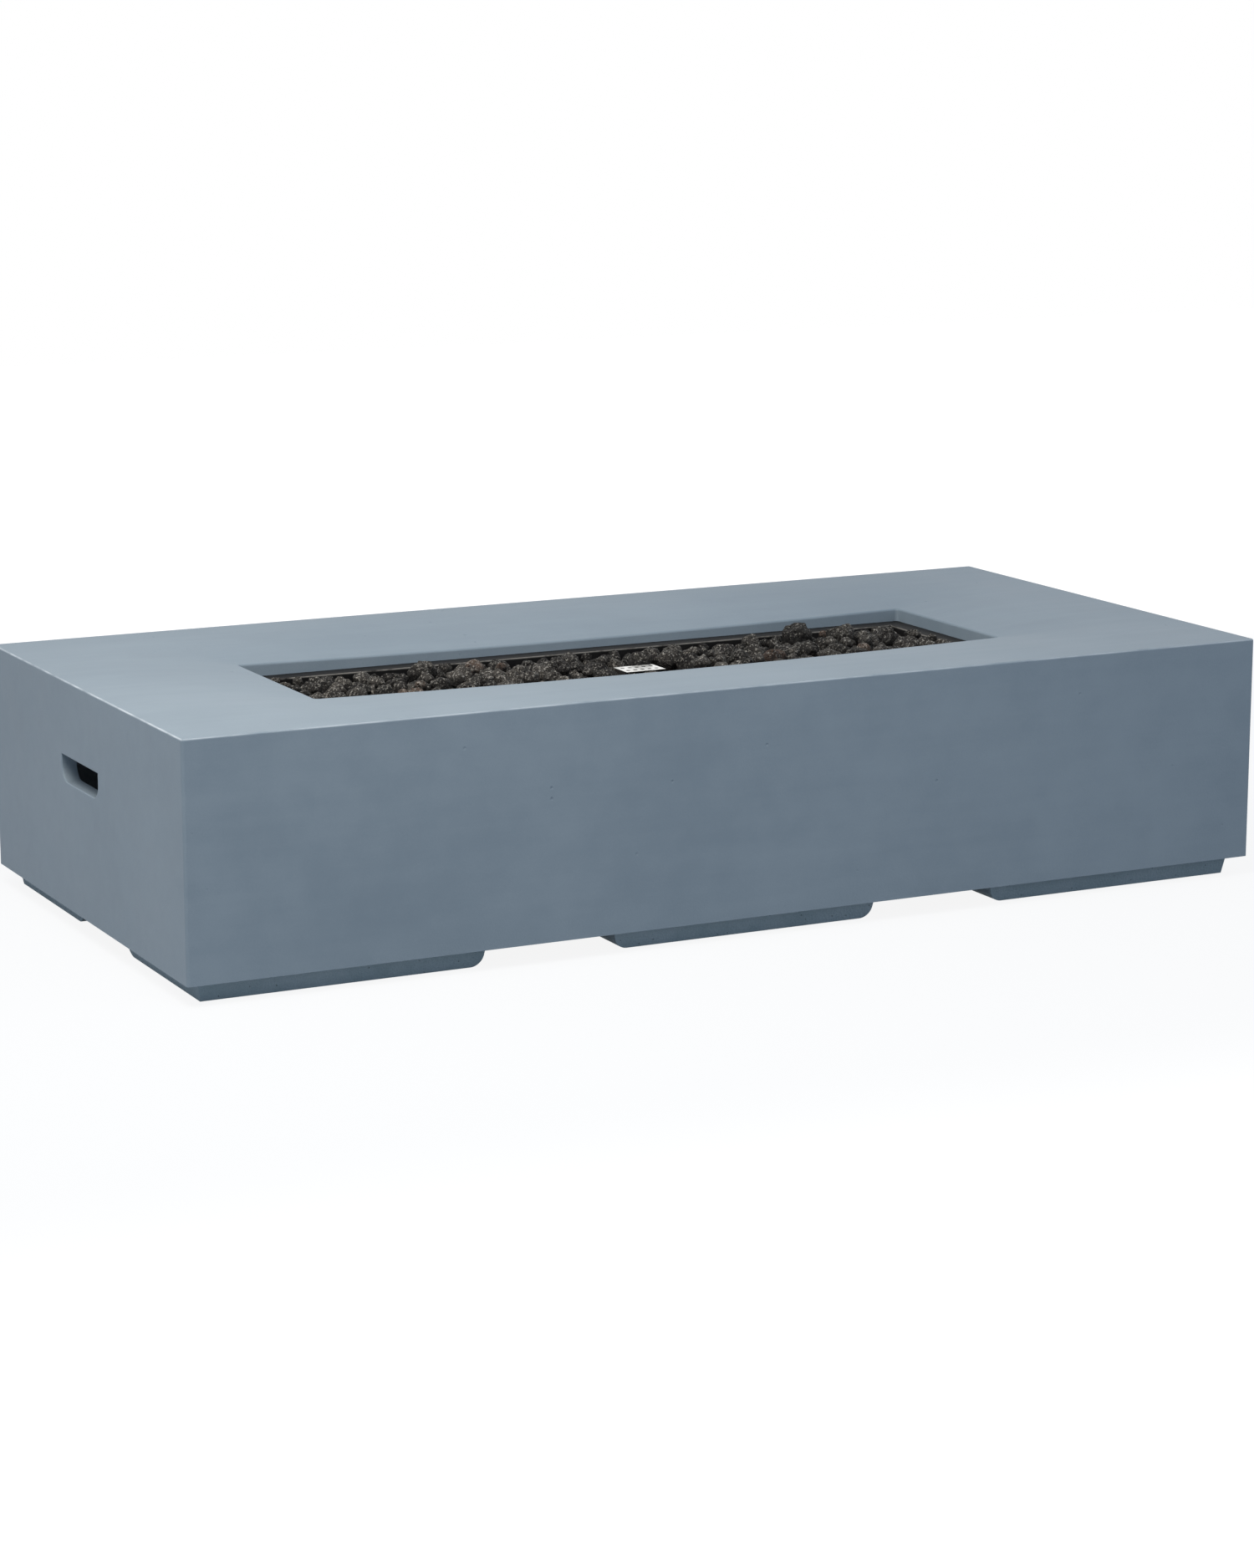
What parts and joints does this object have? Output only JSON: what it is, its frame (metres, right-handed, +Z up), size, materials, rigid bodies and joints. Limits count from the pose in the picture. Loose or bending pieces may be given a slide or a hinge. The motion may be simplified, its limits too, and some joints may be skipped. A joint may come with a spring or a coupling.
{
  "type": "gas fire table",
  "caption": "Low rectangular cast concrete gas fire table with a recessed burner pan of lava rock, raised on block feet, with a knob and spark button in its rear wall.",
  "frame": {"origin": "on the floor under the middle of the table", "axes": "+X along the table, front at -Y, +Z up"},
  "size_m": [1.52, 0.72, 0.324],
  "materials": {
    "concrete": "satin cast concrete, blue grey",
    "foot_concrete": "rough cast concrete, darker",
    "lava": "matt porous rock",
    "pan_black": "black high-temperature powder coat",
    "stainless": "brushed stainless steel",
    "cover_steel": "bright stainless sheet",
    "zinc": "zinc plated steel",
    "brass": "machined brass",
    "spring_steel": "bright drawn steel",
    "aluminium": "bent aluminium tube",
    "copper": "copper capillary",
    "silicone": "matt silicone rubber",
    "ceramic": "fired white ceramic",
    "knob_black": "black moulded plastic",
    "button_black": "black moulded plastic",
    "mark_white": "white enamel",
    "battery": "printed sleeve, plain"
  },
  "bodies": {
    "table": {"air_mixer": "zinc", "bracket_screws": "zinc", "burner_clips": "stainless", "burner_pan": "pan_black", "burner_screws": "zinc", "burner_tube": "stainless", "control_tray": "stainless", "cover_nuts": "zinc", "cover_screws": "zinc", "dial_bezel": "stainless", "dial_marks": "mark_white", "electrode_boot": "silicone", "electrode_insulator": "ceramic", "electrode_rod": "spring_steel", "foot_bolts": "zinc", "foot_front_centre": "foot_concrete", "foot_front_left": "foot_concrete", "foot_front_right": "foot_concrete", "foot_inserts": "brass", "foot_rear_centre": "foot_concrete", "foot_rear_left": "foot_concrete", "foot_rear_right": "foot_concrete", "gas_jet": "brass", "igniter_battery": "battery", "igniter_end_cap": "knob_black", "igniter_housing": "stainless", "igniter_nut": "zinc", "igniter_spring": "spring_steel", "ignition_bracket": "stainless", "ignition_cover": "cover_steel", "ignition_lead": "silicone", "inlet_bracket": "zinc", "inlet_fitting": "brass", "inlet_locknut": "brass", "inlet_nuts": "brass", "inlet_tube": "aluminium", "lava_rocks_far_left": "lava", "lava_rocks_far_right": "lava", "lava_rocks_left": "lava", "lava_rocks_middle": "lava", "lava_rocks_right": "lava", "lead_clip": "zinc", "pan_locknut": "brass", "return_spring": "spring_steel", "screw_anchors": "brass", "supply_nuts": "brass", "supply_tube": "aluminium", "table_shell": "concrete", "thermocouple_lead": "copper", "thermocouple_probe": "spring_steel", "tray_screws": "zinc", "valve_body": "brass", "valve_screws": "zinc"},
    "push_rod": {"safety_push_rod": "spring_steel"},
    "knob": {"control_knob": "knob_black", "knob_pointer": "mark_white", "knob_set_screw": "zinc", "valve_stem": "brass"},
    "button": {"igniter_button": "button_black"}
  },
  "joints": [
    {"name": "knob_push", "type": "slide", "parent": "table", "child": "push_rod", "axis": [0, -1, 0], "range_m": [0, 0.006], "stiffness_N_per_m": 700, "springref_m": -0.006, "deforming": ["return_spring"]},
    {"name": "knob_turn", "type": "hinge", "parent": "push_rod", "child": "knob", "pos_m": [-0.05, 0.3, 0.185], "axis": [0, 1, 0], "range_deg": [0, 210]},
    {"name": "igniter_press", "type": "slide", "parent": "table", "child": "button", "axis": [0, -1, 0], "range_m": [0, 0.004], "stiffness_N_per_m": 500, "springref_m": -0.004, "deforming": ["igniter_spring"]}
  ]
}
